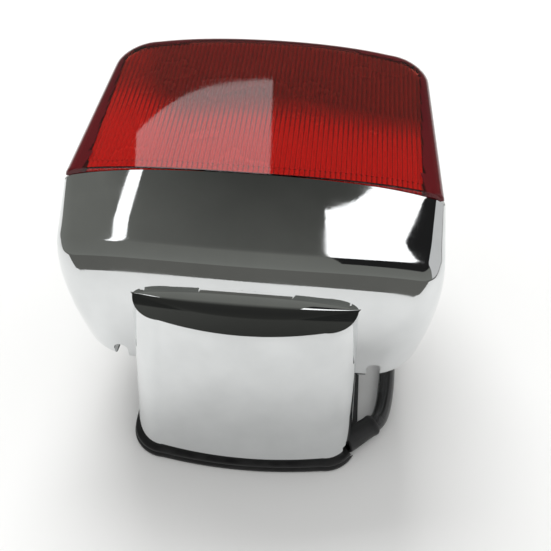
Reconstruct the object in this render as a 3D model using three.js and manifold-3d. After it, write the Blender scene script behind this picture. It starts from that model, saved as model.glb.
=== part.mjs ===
// Motorcycle tail light: a chromed housing with a fluted red lens on its mouth, standing on the
// rubber pad of its mounting neck. Millimetres, +Z up, +Y towards the back of the lens.
// The origin is on the floor under the middle of the lamp.
import * as THREE from 'three';
import { mergeVertices } from 'three/addons/utils/BufferGeometryUtils.js';
import Module from 'manifold-3d';

// ---------------------------------------------------------------- driving dimensions
const GAP = 0.3; // clearance between neighbouring pieces

const SEAM_Y = -18; // the hood's roof meets the front edge of the lens here
const LENS_TOP = 123.8; // crown of the lens
const LENS_HALF = 74.6; // half the width of the lens at the seam
const LENS_FLARE = 1.4; // its sides stand out this much further at the rim
const LENS_BACK = 79; // rear wall of the lens on the centre line
const LENS_TAPER = 0.055; // each side draws in this much for each mm towards the back
const LENS_WALL = 2.8;
const SIDE_ROUND = 3.5; // rounding of the lens's upper side edges
const BACK_ROUND = 8; // rounding of its upper back edge
const RIM_FRONT = 116; // height of the lens rim at the seam
const RIM_SLOPE = 0.4227; // the rim falls this much for each mm towards the back
const RIM_GAP = 2.1; // room between the lens rim and the housing rim, filled by the seal

const HOOD_WALL = 2;
const HOOD_FLOOR = 38.5; // underside of the housing
const HOOD_HALF = 75; // half the width of the hood at the seam and at its underside
const HOOD_SWELL = 3.4; // it is this much wider between them
const HOOD_FLAT_BACK = 22; // the underside is flat up to here, then rises to the rim
const HOOD_BACK = 73;
const BEND_Y = -44.5; // the bend between the sloping roof and the upright face
const BEND_Z = 102.5;
const FACE_FOOT_Y = -52; // bottom of the upright face
const ROOF_LEAN = 1.55; // the roof's thickness along Y for each mm of wall
const CORNER_TOP = 4; // radius of the front corners in plan, at the seam
const CORNER_GROWTH = 0.258; // that radius grows this much for each mm down
const EDGE_ROUND = 5; // rounding of the hood's lower edge
const NOTCH_X = 54.6; // drain notches in the lower edge, either side of the neck
const NOTCH_HALF = 3.1;
const NOTCH_HEIGHT = 8;

const NECK_FOOT = 5.3;
const NECK_HALF_FOOT = 48.8;
const NECK_HALF_TOP = 45.4;
const NECK_FRONT_FOOT = -76.3;
const NECK_FRONT_TOP = -64.5;
const NECK_BACK = 14;
const NECK_WALL = 2;
const LIP_Z = 82; // front edge of the ledge on top of the neck
const LEDGE_SLOPE = 0.12; // the ledge rises this much for each mm back to the hood's face

const PAD_HEIGHT = 5;
const PAD_PROUD = 2.6; // the rubber pad stands out this far round the neck
const PLATE_Z = 11;
const PLATE_THICK = 3;
const BOLT_X = 28; // the two mounting bolts
const BOLT_Y = -32;
const BOLT_CLEARANCE = 4.3;
const NUT_BORE = 3.4;
const NUT_HEIGHT = 6.5;

const BULB_Y = 4; // upright axis of bulb and socket, on the centre line
const SOCKET_Z = HOOD_FLOOR + HOOD_WALL + GAP;
const SOCKET_FLOOR = 2;
const SOCKET_TOP = 75;
const SOCKET_OUTER = 9.2;
const SOCKET_BORE = 7.9;
const CARRIER_Z = 52.7;
const CARRIER_THICK = 5;
const BASE_Z = 59.7;
const BASE_TOP = 78;
const BASE_RADIUS = 7.5;
const PIN_Z = 66;
const PIN_REACH = 9.6;
const PIN_RADIUS = 1;
const TWIST_DEGREES = 25;
const GLASS_Z = 93; // centre of the round bulb
const GLASS_RADIUS = 13.2;

const SCREW_X = 52; // lens screws, driven upwards from under the housing
const SCREW_Y = 50;
const SCREW_SEAT = 53;
const SCREW_RADIUS = 1.7;
const PILLAR_FOOT = 86;
const COLUMN_TOP = PILLAR_FOOT - 0.5;

const WINDOW_HALF = 34; // licence-plate window in the lens's rear wall
const WINDOW_LOW = 84;
const WINDOW_HIGH = 103;

const CABLE_RADIUS = 3.8;
const BORE_RADIUS = CABLE_RADIUS + GAP;
const EXIT = new THREE.Vector3(49.4, -60, 5.6); // where the cable passes the neck's side wall
const EXIT_TURN = 40; // degrees from +X
const BOOT_RADIUS = 5.3;
const BOOT_FOOT = -5; // the boot runs from inside the neck to its thin end, along the exit
const BOOT_END = 12;
const PLUG_LENGTH = 24;
const PLUG_WIDTH = 15;
const PLUG_HEIGHT = 7.6;
const LATCH_LENGTH = 12;
const LATCH_WIDTH = 4;
const LATCH_RISE = 1.2;

// ---------------------------------------------------------------- solids
const wasm = await Module();
wasm.setup();

function toSolid(geometry) {
  const bare = geometry.clone();
  for (const name of Object.keys(bare.attributes)) {
    if (name !== 'position') bare.deleteAttribute(name);
  }
  const merged = mergeVertices(bare, 1e-4);
  return new wasm.Manifold(new wasm.Mesh({
    numProp: 3,
    vertProperties: new Float32Array(merged.attributes.position.array),
    triVerts: new Uint32Array(merged.index.array),
  }));
}

function toGeometry(solid) {
  const mesh = solid.getMesh();
  const geometry = new THREE.BufferGeometry();
  geometry.setAttribute('position', new THREE.BufferAttribute(mesh.vertProperties, 3));
  geometry.setIndex(new THREE.BufferAttribute(mesh.triVerts, 1));
  return geometry;
}

// A closed body through rings of equal length, one above the other, capped at both ends.
function loft(rings) {
  const count = rings[0].length;
  const positions = rings.flat().flatMap((p) => [p.x, p.y, p.z]);
  const index = [];
  for (let r = 0; r + 1 < rings.length; r += 1) {
    for (let i = 0; i < count; i += 1) {
      const a = r * count + i;
      const b = r * count + ((i + 1) % count);
      index.push(a, b, b + count, a, b + count, a + count);
    }
  }
  const caps = THREE.ShapeUtils.triangulateShape(rings[0].map((p) => new THREE.Vector2(p.x, p.y)), []);
  const last = (rings.length - 1) * count;
  for (const [a, b, c] of caps) {
    index.push(a, c, b, last + a, last + b, last + c);
  }
  const geometry = new THREE.BufferGeometry();
  geometry.setAttribute('position', new THREE.Float32BufferAttribute(positions, 3));
  geometry.setIndex(index);
  return toSolid(geometry);
}

function box(x0, x1, y0, y1, z0, z1) {
  const geometry = new THREE.BoxGeometry(x1 - x0, y1 - y0, z1 - z0);
  geometry.translate((x0 + x1) / 2, (y0 + y1) / 2, (z0 + z1) / 2);
  return toSolid(geometry);
}

// A body turned about the upright axis through (x, y); the profile holds [radius, height] pairs.
function turned(x, y, profile, sides = 24) {
  const geometry = new THREE.LatheGeometry(profile.map(([r, z]) => new THREE.Vector2(r, z)), sides);
  geometry.rotateX(Math.PI / 2);
  geometry.translate(x, y, 0);
  return toSolid(geometry);
}

const disc = (x, y, z0, z1, r, sides) => turned(x, y, [[0, z0], [r, z0], [r, z1], [0, z1]], sides);

function tube(x, y, z0, z1, outer, bore, sides) {
  return turned(x, y, [[bore, z0], [outer, z0], [outer, z1], [bore, z1], [bore, z0]], sides);
}

// A round cord of the given radius through a list of points.
function cord(points, radius, steps, sides) {
  const section = new THREE.Shape();
  for (let i = 0; i < sides; i += 1) {
    const a = (2 * Math.PI * i) / sides;
    section[i ? 'lineTo' : 'moveTo'](radius * Math.cos(a), radius * Math.sin(a));
  }
  section.closePath();
  const extrudePath = new THREE.CatmullRomCurve3(points.map(([x, y, z]) => new THREE.Vector3(x, y, z)));
  return toSolid(new THREE.ExtrudeGeometry(section, { steps, extrudePath }));
}

// Everything above, or below, a plane that falls towards the back like the lens rim.
function rimHalf(offset, above) {
  const slab = new THREE.BoxGeometry(400, 400, 200);
  slab.translate(0, 0, above ? 100 : -100);
  slab.rotateX(-Math.atan(RIM_SLOPE));
  slab.translate(0, SEAM_Y, RIM_FRONT + offset);
  return toSolid(slab);
}

// ---------------------------------------------------------------- outlines in plan
const EDGE_STEPS = 5;
const ARC_STEPS = 4;
const lerp = (a, b, t) => a + (b - a) * t;
const clamp01 = (t) => Math.min(1, Math.max(0, t));

// One bowed edge with its right-hand corner, from the centre line out to the side.
function halfEdge(edge, bow, radius, inwards, halfAt) {
  const inner = halfAt(edge) - radius;
  const points = [];
  for (let i = 0; i < EDGE_STEPS; i += 1) {
    const x = (inner * i) / EDGE_STEPS;
    points.push([x, edge + inwards * bow * (x / halfAt(edge)) ** 2]);
  }
  const corner = edge + inwards * bow * (inner / halfAt(edge)) ** 2;
  for (let i = 0; i <= ARC_STEPS; i += 1) {
    const a = (Math.PI / 2) * (i / ARC_STEPS);
    const y = corner + inwards * radius * (1 - Math.cos(a));
    points.push([inner + radius * Math.sin(a) + halfAt(y) - halfAt(edge), y]);
  }
  return points;
}

// A closed outline, anticlockwise from above.
function outline({ front, back, half, taper = 0, frontBow, backBow, frontRadius, backRadius }) {
  const halfAt = (y) => half - taper * Math.max(0, y - SEAM_Y);
  const right = [
    ...halfEdge(front, frontBow, frontRadius, 1, halfAt),
    ...halfEdge(back, backBow, backRadius, -1, halfAt).reverse(),
  ];
  const left = right.slice(1, -1).reverse().map(([x, y]) => [-x, y]);
  return [...right, ...left];
}

const ringAt = (points, z) => points.map(([x, y]) => new THREE.Vector3(x, y, z));

// The gentle crown across the lens and the roof: how far a point drops towards the sides.
const crownDrop = (x) => 0.000192 * x ** 2 + 1.294e-7 * x ** 4;

// ---------------------------------------------------------------- housing
// Swell of the hood's sides at a height: none at the seam and at the underside.
function hoodHalf(z) {
  const t = clamp01((z - HOOD_FLOOR) / (LENS_TOP - HOOD_FLOOR));
  return HOOD_HALF + HOOD_SWELL * Math.sin(Math.PI * t);
}

// Front of the hood on the centre line: upright face below the bend, sloping roof above it.
function hoodFront(z) {
  if (z > BEND_Z) return lerp(BEND_Y, SEAM_Y, (z - BEND_Z) / (LENS_TOP - BEND_Z));
  return lerp(BEND_Y, FACE_FOOT_Y, 1 - ((z - HOOD_FLOOR) / (BEND_Z - HOOD_FLOOR)) ** 3);
}

// Rear of the housing at a height, on the slope between the flat underside and the rim.
function hoodBack(z) {
  const rimZ = RIM_FRONT - RIM_GAP - RIM_SLOPE * (HOOD_BACK - SEAM_Y);
  return lerp(HOOD_FLAT_BACK, HOOD_BACK, clamp01((z - HOOD_FLOOR) / (rimZ - HOOD_FLOOR)) ** 0.8);
}

// Levels of the hood's sections, as shares of its height: close together at its lower edge and bend.
const HOOD_LEVELS = [0, 0.01, 0.03, 0.06, 0.145, 0.27, 0.41, 0.555, 0.675, 0.743, 0.8, 0.87, 0.94, 1];

// The hood as a full body, its walls moved inwards by the inset.
function hoodBody(inset) {
  const bottom = HOOD_FLOOR + inset;
  return loft(HOOD_LEVELS.map((level) => {
    const rise = level * (LENS_TOP - bottom);
    const z = bottom + rise;
    const low = Math.max(0, EDGE_ROUND - rise);
    const tuck = EDGE_ROUND - Math.sqrt(EDGE_ROUND ** 2 - low ** 2);
    const lean = z > BEND_Z ? ROOF_LEAN : 1;
    const plan = outline({
      front: hoodFront(z) + inset * lean + tuck,
      back: hoodBack(z - inset) - inset * 1.2,
      half: hoodHalf(z) - inset - tuck,
      taper: 0.1,
      frontBow: 3.4,
      backBow: 5,
      frontRadius: CORNER_TOP + (LENS_TOP - z) * CORNER_GROWTH,
      backRadius: 16,
    });
    const fade = clamp01((z - 80) / 30);
    return plan.map(([x, y]) => new THREE.Vector3(x, y, z - crownDrop(x) * fade));
  }));
}

function neckOutline(z, grow) {
  const t = clamp01((z - NECK_FOOT) / (LIP_Z - NECK_FOOT));
  return outline({
    front: lerp(NECK_FRONT_FOOT, NECK_FRONT_TOP, t) - grow,
    back: NECK_BACK + grow,
    half: lerp(NECK_HALF_FOOT, NECK_HALF_TOP, t) + grow,
    frontBow: lerp(6.1, 8.2, t),
    backBow: 2,
    frontRadius: 13 + grow,
    backRadius: 9 + grow,
  });
}

// The neck as a full body under its sloping ledge. An inset one reaches below the foot, to open it.
function neckBody(inset) {
  const levels = [NECK_FOOT, 20, 35, 50, 65, 75, 92];
  if (inset) levels.unshift(-1);
  const body = loft(levels.map((z) => ringAt(neckOutline(z, -inset), z)));
  const above = new THREE.BoxGeometry(200, 400, 200);
  above.translate(0, 0, 100);
  above.rotateX(Math.atan(LEDGE_SLOPE));
  above.translate(0, NECK_FRONT_TOP, LIP_Z - inset * 1.1);
  return body.subtract(toSolid(above));
}

const exitTurn = THREE.MathUtils.degToRad(EXIT_TURN);
const alongExit = (d, z = EXIT.z) => [
  EXIT.x + d * Math.cos(exitTurn), EXIT.y + d * Math.sin(exitTurn), z,
];

// A body turned about the cable's line of exit; the profile holds [radius, distance] pairs.
function turnedOnExit(profile, sides = 24) {
  const geometry = new THREE.LatheGeometry(profile.map(([r, d]) => new THREE.Vector2(r, d)), sides);
  geometry.rotateZ(-Math.PI / 2);
  geometry.rotateZ(exitTurn);
  geometry.translate(EXIT.x, EXIT.y, EXIT.z);
  return toSolid(geometry);
}

const exitHole = turnedOnExit([
  [0, BOOT_FOOT - 4], [BOOT_RADIUS + GAP, BOOT_FOOT - 4], [BOOT_RADIUS + GAP, BOOT_END + 8],
  [0, BOOT_END + 8],
]);

function housing() {
  const hood = hoodBody(0);
  let shell = hood.add(neckBody(0));
  const mouth = rimHalf(-RIM_GAP, true).intersect(box(-200, 200, SEAM_Y - GAP / 2, 200, 0, 200));
  shell = shell.subtract(mouth);
  shell = shell.subtract(neckBody(NECK_WALL).subtract(hood));
  let hollow = hoodBody(HOOD_WALL);
  for (const side of [-1, 1]) {
    const seat = disc(side * SCREW_X, SCREW_Y, SCREW_SEAT, COLUMN_TOP, 5.5);
    shell = shell.add(seat);
    hollow = hollow.subtract(seat);
  }
  shell = shell.subtract(hollow);
  for (const side of [-1, 1]) {
    shell = shell.subtract(disc(side * SCREW_X, SCREW_Y, 40, 100, SCREW_RADIUS + 0.4, 20));
    shell = shell.subtract(box(
      side * NOTCH_X - NOTCH_HALF, side * NOTCH_X + NOTCH_HALF, -60, -40,
      HOOD_FLOOR - 1, HOOD_FLOOR + NOTCH_HEIGHT,
    ));
    const arch = new THREE.CylinderGeometry(NOTCH_HALF, NOTCH_HALF, 20, 20);
    arch.translate(side * NOTCH_X, -50, HOOD_FLOOR + NOTCH_HEIGHT);
    shell = shell.subtract(toSolid(arch));
  }
  shell = shell.subtract(disc(0, -17, 36, 46, 4, 20));
  return shell.subtract(exitHole);
}

// ---------------------------------------------------------------- lens
function lensBody(inset) {
  const top = LENS_TOP - inset;
  const heights = [0, 0.6, 1.8, 3.5, 5.5, 8, 14, 30, 60];
  const rounding = (radius, depth) => {
    const rise = Math.max(0, radius - depth);
    return radius - Math.sqrt(Math.max(0, radius ** 2 - rise ** 2));
  };
  const rings = heights.map((depth) => {
    const z = top - depth;
    const plan = outline({
      front: SEAM_Y + GAP / 2 + inset,
      back: LENS_BACK - inset - rounding(BACK_ROUND, depth),
      half: LENS_HALF + LENS_FLARE * clamp01(depth / 20) - inset - rounding(SIDE_ROUND, depth),
      taper: LENS_TAPER,
      frontBow: 0,
      backBow: 7,
      frontRadius: 1.5,
      backRadius: 16,
    });
    return plan.map(([x, y]) => new THREE.Vector3(x, y, z - crownDrop(x) * (1 - depth / 60)));
  });
  return loft(rings.reverse());
}

const windowHole = (grow) => box(
  -WINDOW_HALF - grow, WINDOW_HALF + grow, 60, 90, WINDOW_LOW - grow, WINDOW_HIGH + grow,
);

function lens() {
  let cup = lensBody(0).subtract(lensBody(LENS_WALL));
  for (const side of [-1, 1]) {
    cup = cup.add(disc(side * SCREW_X, SCREW_Y, PILLAR_FOOT, LENS_TOP - 4, 4.6, 24));
    cup = cup.subtract(disc(side * SCREW_X, SCREW_Y, 60, 112, SCREW_RADIUS + GAP, 20));
  }
  return cup.intersect(rimHalf(0, true)).subtract(windowHole(GAP));
}

function licenceWindow() {
  return lensBody(0).subtract(lensBody(LENS_WALL - 0.4)).intersect(windowHole(0));
}

function lensSeal() {
  const ring = lensBody(0.8).subtract(lensBody(3.2));
  const seat = rimHalf(-GAP, false).intersect(rimHalf(-RIM_GAP + GAP, true));
  return ring.intersect(seat).intersect(box(-200, 200, SEAM_Y + 3.4, 200, 0, 200));
}

// ---------------------------------------------------------------- lamp inside the housing
function reflector() {
  let plate = hoodBody(HOOD_WALL + 0.5).intersect(rimHalf(-8, false)).intersect(rimHalf(-9.8, true));
  plate = plate.subtract(disc(0, BULB_Y, 60, 130, 15, 32));
  for (const side of [-1, 1]) {
    plate = plate.subtract(disc(side * SCREW_X, SCREW_Y, 60, 130, 6, 24));
  }
  return plate;
}

// Slots for the bulb's two pins: down from the mouth, then round to the locked position.
function pinSlots() {
  const half = PIN_RADIUS + GAP;
  const cut = (turn, z1) => {
    const geometry = new THREE.BoxGeometry(26, 2 * half, z1 - PIN_Z + half);
    geometry.translate(0, 0, (z1 + PIN_Z - half) / 2);
    geometry.rotateZ(THREE.MathUtils.degToRad(turn));
    geometry.translate(0, BULB_Y, 0);
    return toSolid(geometry);
  };
  let slots = cut(-TWIST_DEGREES, SOCKET_TOP + 1);
  for (let turn = -TWIST_DEGREES; turn <= 0; turn += 5) slots = slots.add(cut(turn, PIN_Z + half));
  return slots;
}

function socketShell() {
  const floorTop = SOCKET_Z + SOCKET_FLOOR;
  const cup = turned(0, BULB_Y, [
    [3, SOCKET_Z], [14, SOCKET_Z], [14, floorTop], [SOCKET_OUTER, floorTop], [SOCKET_OUTER, SOCKET_TOP],
    [SOCKET_BORE, SOCKET_TOP], [SOCKET_BORE, floorTop], [3, floorTop], [3, SOCKET_Z],
  ]);
  return cup.subtract(pinSlots());
}

class Helix extends THREE.Curve {
  constructor(radius, z0, z1, turns) {
    super();
    Object.assign(this, { radius, z0, z1, turns });
  }

  getPoint(t, target = new THREE.Vector3()) {
    const a = 2 * Math.PI * this.turns * t;
    const height = lerp(this.z0, this.z1, t);
    return target.set(this.radius * Math.cos(a), BULB_Y + this.radius * Math.sin(a), height);
  }
}

function contactSpring() {
  const wire = 0.55;
  const low = SOCKET_Z + SOCKET_FLOOR + GAP + wire;
  const section = new THREE.Shape();
  section.absarc(0, 0, wire, 0, 2 * Math.PI, false);
  const extrudePath = new Helix(5.6, low, CARRIER_Z - GAP - wire, 3.5);
  const curve = new THREE.ExtrudeGeometry(section, { steps: 56, curveSegments: 3, extrudePath });
  return toSolid(curve);
}

const contact = (side) => turned(side * 3, BULB_Y, [
  [0, CARRIER_Z + CARRIER_THICK + GAP], [1.8, CARRIER_Z + CARRIER_THICK + GAP],
  [1.8, CARRIER_Z + CARRIER_THICK + 0.8], [1.2, CARRIER_Z + CARRIER_THICK + 1.4],
  [0, CARRIER_Z + CARRIER_THICK + 1.6],
], 16);

function bulbBase() {
  const pin = new THREE.CylinderGeometry(PIN_RADIUS, PIN_RADIUS, 2 * PIN_REACH, 12);
  pin.rotateZ(Math.PI / 2);
  pin.translate(0, BULB_Y, PIN_Z);
  return disc(0, BULB_Y, BASE_Z, BASE_TOP, BASE_RADIUS).add(toSolid(pin));
}

function bulbGlass() {
  const wall = 0.8;
  const neck = 7.2;
  const foot = BASE_TOP + GAP;
  const sphere = (radius, from, to) => {
    const points = [];
    for (let i = 0; i <= 7; i += 1) {
      const a = lerp(from, to, i / 7);
      points.push([Math.max(0, radius * Math.cos(a)), GLASS_Z + radius * Math.sin(a)]);
    }
    return points;
  };
  const outer = sphere(GLASS_RADIUS, -0.85, Math.PI / 2);
  const inner = sphere(GLASS_RADIUS - wall, Math.PI / 2, -0.85);
  return turned(0, BULB_Y, [
    [neck - wall, foot], [neck, foot], [neck, foot + 2], ...outer, ...inner, [neck - wall, foot + 2],
    [neck - wall, foot],
  ], 20);
}

function bulbFilament() {
  const foot = BASE_TOP + GAP;
  const y = BULB_Y;
  return cord([[-3, y, foot], [-3.4, y, foot + 8], [-4, y, 92], [-2, y, 94], [0, y, 93.6], [2, y, 94],
    [4, y, 92], [3.4, y, foot + 8], [3, y, foot]], 0.45, 40, 6);
}

// ---------------------------------------------------------------- foot
function basePlate() {
  const grow = -NECK_WALL - 0.6;
  let plate = loft([PLATE_Z, PLATE_Z + PLATE_THICK].map((z) => ringAt(neckOutline(PLATE_Z, grow), z)));
  for (const side of [-1, 1]) {
    plate = plate.subtract(disc(side * BOLT_X, BOLT_Y, 0, 30, BOLT_CLEARANCE, 24));
  }
  return plate.subtract(box(22, 60, -90, -46, 0, 30));
}

function fenderPad() {
  const levels = [
    [0, -0.8], [0.7, 0], [1.9, 0], [2.5, -1.1], [3.1, -1.1], [3.6, -0.5], [4.5, -0.5], [5, -1.1],
  ];
  let pad = loft(levels.map(([z, grow]) => ringAt(neckOutline(NECK_FOOT, PAD_PROUD + grow), z)));
  for (const side of [-1, 1]) {
    pad = pad.subtract(disc(side * BOLT_X, BOLT_Y, -1, PAD_HEIGHT + 1, BOLT_CLEARANCE, 24));
  }
  const length = BOOT_END - BOOT_FOOT + 1;
  const channel = new THREE.BoxGeometry(length, 2 * (BOOT_RADIUS + GAP), 3 * PAD_HEIGHT);
  channel.rotateZ(exitTurn);
  channel.translate(...alongExit((BOOT_END + BOOT_FOOT) / 2 - GAP));
  return pad.subtract(toSolid(channel));
}

function weldNut(side) {
  const z0 = PLATE_Z + PLATE_THICK + GAP;
  const nut = tube(side * BOLT_X, BOLT_Y, z0, z0 + NUT_HEIGHT, 7.5, NUT_BORE, 6);
  const bore = disc(side * BOLT_X, BOLT_Y, z0 - 1, z0 + NUT_HEIGHT + 1, NUT_BORE + 0.05, 24);
  return nut.subtract(bore);
}

// ---------------------------------------------------------------- screws
function lensScrew(side) {
  const head = SCREW_SEAT - 1.5 - 2 * GAP;
  return turned(side * SCREW_X, SCREW_Y, [
    [0, head - 2.6], [2.4, head - 2.4], [3.9, head - 1.2], [4, head], [SCREW_RADIUS, head],
    [SCREW_RADIUS, 108], [0, 110],
  ], 24);
}

const screwWasher = (side) => tube(
  side * SCREW_X, SCREW_Y, SCREW_SEAT - 1.5 - GAP, SCREW_SEAT - GAP, 5, SCREW_RADIUS + GAP, 24,
);

// ---------------------------------------------------------------- cable
// Centre line of the cable from the boot, on the floor round the right side to the plug.
const CABLE_ROUTE = [
  alongExit(-4), alongExit(2), alongExit(8), alongExit(13), [61.6, -47.4, 4.9], [63.3, -40, 4.1],
  [64.4, -30, 3.8], [64.9, -19, 3.8], [64.8, -7, 3.8], [63.6, 6, 3.8], [60.6, 19, 3.8], [55.2, 31, 3.8],
  [47, 41.4, 3.8], [36.6, 48.9, 3.8], [24.4, 53, 3.8], [11.4, 54.3, 3.8], [-1.8, 53.2, 3.8],
  [-14.6, 49.8, 3.9], [-27, 44.6, 4.2],
];

function cableBoot() {
  return turnedOnExit([
    [BORE_RADIUS, BOOT_FOOT], [BOOT_RADIUS - 0.4, BOOT_FOOT], [BOOT_RADIUS, BOOT_FOOT + 2], [BOOT_RADIUS, 3],
    [BOOT_RADIUS - 0.3, 9], [BORE_RADIUS + 0.5, BOOT_END], [BORE_RADIUS, BOOT_END],
    [BORE_RADIUS, BOOT_FOOT],
  ]);
}

const cable = () => cord(CABLE_ROUTE, CABLE_RADIUS, 40, 8);

// The lead inside the neck, from the cable's end up through the housing floor to the socket.
const innerLead = () => cord([
  alongExit(-6.8, 8.2), [38, -65, 12], [28, -58, 18], [14, -44, 26], [4, -26, 32], [0, -17, 39], [0, -17, 46],
  [0, -14, 51], [0, -8, 54],
], 2.2, 24, 8);

function leadPlug() {
  const end = CABLE_ROUTE[CABLE_ROUTE.length - 1];
  const before = CABLE_ROUTE[CABLE_ROUTE.length - 2];
  const body = new THREE.BoxGeometry(PLUG_LENGTH, PLUG_WIDTH, PLUG_HEIGHT);
  const latch = new THREE.BoxGeometry(LATCH_LENGTH, LATCH_WIDTH, 2 * LATCH_RISE);
  body.translate(PLUG_LENGTH / 2 + GAP, 0, 0);
  latch.translate(PLUG_LENGTH / 2 + 2, 0, PLUG_HEIGHT / 2);
  const plug = [body, latch].map((piece) => {
    piece.rotateZ(Math.atan2(end[1] - before[1], end[0] - before[0]));
    piece.translate(end[0], end[1], end[2]);
    return toSolid(piece);
  });
  return plug[0].add(plug[1]);
}

// ---------------------------------------------------------------- assembly
const FINISH = {
  chrome: { color: 0xd6dadd, roughness: 0.08, metalness: 1 },
  redLens: { color: 0xc8141a, roughness: 0.15, metalness: 0 },
  clearLens: { color: 0xe8edf0, roughness: 0.1, metalness: 0 },
  rubber: { color: 0x141414, roughness: 0.8, metalness: 0 },
  reflector: { color: 0xdfe2e4, roughness: 0.3, metalness: 0.6 },
  zinc: { color: 0xa9adb0, roughness: 0.45, metalness: 1 },
  brass: { color: 0xb98f3e, roughness: 0.35, metalness: 1 },
  bakelite: { color: 0x3a2418, roughness: 0.6, metalness: 0 },
  plastic: { color: 0x1b1b1c, roughness: 0.5, metalness: 0 },
};

const lamp = new THREE.Group();

function place(name, solid, finish) {
  const mesh = new THREE.Mesh(toGeometry(solid), new THREE.MeshStandardMaterial(FINISH[finish]));
  mesh.name = name;
  lamp.add(mesh);
}

place('chrome_housing', housing(), 'chrome');
place('tail_lens', lens(), 'redLens');
place('licence_window', licenceWindow(), 'clearLens');
place('lens_seal', lensSeal(), 'rubber');
place('reflector_plate', reflector(), 'reflector');
place('socket_shell', socketShell(), 'zinc');
place('contact_spring', contactSpring(), 'zinc');
place('contact_carrier', disc(0, BULB_Y, CARRIER_Z, CARRIER_Z + CARRIER_THICK, BASE_RADIUS), 'bakelite');
place('contact_left', contact(-1), 'brass');
place('contact_right', contact(1), 'brass');
place('bulb_base', bulbBase(), 'brass');
place('bulb_glass', bulbGlass(), 'clearLens');
place('bulb_filament', bulbFilament(), 'zinc');
place('base_plate', basePlate(), 'zinc');
place('fender_pad', fenderPad(), 'rubber');
place('cable_boot', cableBoot(), 'rubber');
place('inner_lead', innerLead(), 'plastic');
place('cable', cable(), 'plastic');
place('lead_plug', leadPlug(), 'plastic');
for (const [side, label] of [[-1, 'left'], [1, 'right']]) {
  place(`weld_nut_${label}`, weldNut(side), 'zinc');
  place(`lens_screw_${label}`, lensScrew(side), 'zinc');
  place(`screw_washer_${label}`, screwWasher(side), 'rubber');
}

export default lamp;
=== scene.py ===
import math

import bmesh
import bpy
from mathutils import Matrix, Vector


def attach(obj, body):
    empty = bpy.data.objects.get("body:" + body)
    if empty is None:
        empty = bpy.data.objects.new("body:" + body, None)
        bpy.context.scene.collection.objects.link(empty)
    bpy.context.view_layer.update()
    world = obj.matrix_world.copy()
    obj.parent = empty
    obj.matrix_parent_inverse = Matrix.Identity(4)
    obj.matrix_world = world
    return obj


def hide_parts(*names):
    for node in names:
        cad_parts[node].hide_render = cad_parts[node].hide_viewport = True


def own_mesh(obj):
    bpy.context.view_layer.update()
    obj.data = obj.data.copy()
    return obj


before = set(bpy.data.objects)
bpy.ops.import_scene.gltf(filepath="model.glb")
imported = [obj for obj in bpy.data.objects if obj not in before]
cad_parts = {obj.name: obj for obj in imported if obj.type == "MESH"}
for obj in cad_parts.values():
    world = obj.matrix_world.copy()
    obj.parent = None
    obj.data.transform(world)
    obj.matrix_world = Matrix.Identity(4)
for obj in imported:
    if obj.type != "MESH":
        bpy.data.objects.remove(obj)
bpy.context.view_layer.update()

MM = 0.001
FLUTE_PITCH = 2.0
BODY = "housing"

# ------------------------------------------------------------------ camera
CAMERA_AT = Vector((29.5, -250.7, 333.4)) * MM
CAMERA_FORWARD = Vector((-0.0562, 0.6544, -0.7540)).normalized()
CAMERA_RIGHT = Vector((0.9956, 0.0938, 0.0072)).normalized()
CAMERA_UP = CAMERA_RIGHT.cross(CAMERA_FORWARD)


def make_camera():
    data = bpy.data.cameras.new("camera")
    data.lens = 53.1
    data.sensor_width = 36
    data.clip_start = 0.01
    camera = bpy.data.objects.new("camera", data)
    bpy.context.scene.collection.objects.link(camera)
    turn = Matrix((CAMERA_RIGHT, CAMERA_UP, -CAMERA_FORWARD)).transposed()
    camera.matrix_world = Matrix.Translation(CAMERA_AT) @ turn.to_4x4()
    bpy.context.scene.camera = camera


make_camera()

# ------------------------------------------------------------------ cable
CABLE_RADIUS = 3.8
EXIT = Vector((49.4, -60, 5.6))
EXIT_TURN = math.radians(40)
EXIT_WAY = Vector((math.cos(EXIT_TURN), math.sin(EXIT_TURN), 0))


def along_exit(distance):
    return tuple(EXIT + EXIT_WAY * distance)


CABLE_ROUTE = [
    along_exit(-4), along_exit(2), along_exit(8), along_exit(13),
    (61.6, -47.4, 4.9), (63.3, -40, 4.1), (64.4, -30, 3.8), (64.9, -19, 3.8),
    (64.8, -7, 3.8), (63.6, 6, 3.8), (60.6, 19, 3.8), (55.2, 31, 3.8),
    (47, 41.4, 3.8), (36.6, 48.9, 3.8), (24.4, 53, 3.8), (11.4, 54.3, 3.8),
    (-1.8, 53.2, 3.8), (-14.6, 49.8, 3.9), (-27, 44.6, 4.2),
]


def smooth_line(points, steps):
    """Catmull-Rom points through the given ones."""
    places = [Vector(p) for p in points]
    ends = [places[0] * 2 - places[1], *places, places[-1] * 2 - places[-2]]
    line = []
    for a, b, c, d in zip(ends, ends[1:], ends[2:], ends[3:]):
        for step in range(steps):
            t = step / steps
            line.append(0.5 * (
                2 * b + (c - a) * t + (2 * a - 5 * b + 4 * c - d) * t ** 2
                + (3 * b - a - 3 * c + d) * t ** 3
            ))
    return [*line, places[-1]]


def make_cord(name, points, radius, steps=6):
    data = bpy.data.curves.new(name, "CURVE")
    data.dimensions = "3D"
    data.bevel_depth = radius * MM
    data.bevel_resolution = 6
    data.use_fill_caps = True
    line = smooth_line(points, steps)
    spline = data.splines.new("POLY")
    spline.points.add(len(line) - 1)
    for point, place in zip(spline.points, line):
        point.co = (*(place * MM), 1)
    spline.use_smooth = True
    piece = bpy.data.objects.new(name, data)
    bpy.context.scene.collection.objects.link(piece)
    return piece


# ------------------------------------------------------------------ materials
def new_material(name, **sockets):
    made = bpy.data.materials.new(name)
    made.use_nodes = True
    shader = made.node_tree.nodes["Principled BSDF"]
    for socket, value in sockets.items():
        shader.inputs[socket.replace("_", " ")].default_value = value
    return made, shader


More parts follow.
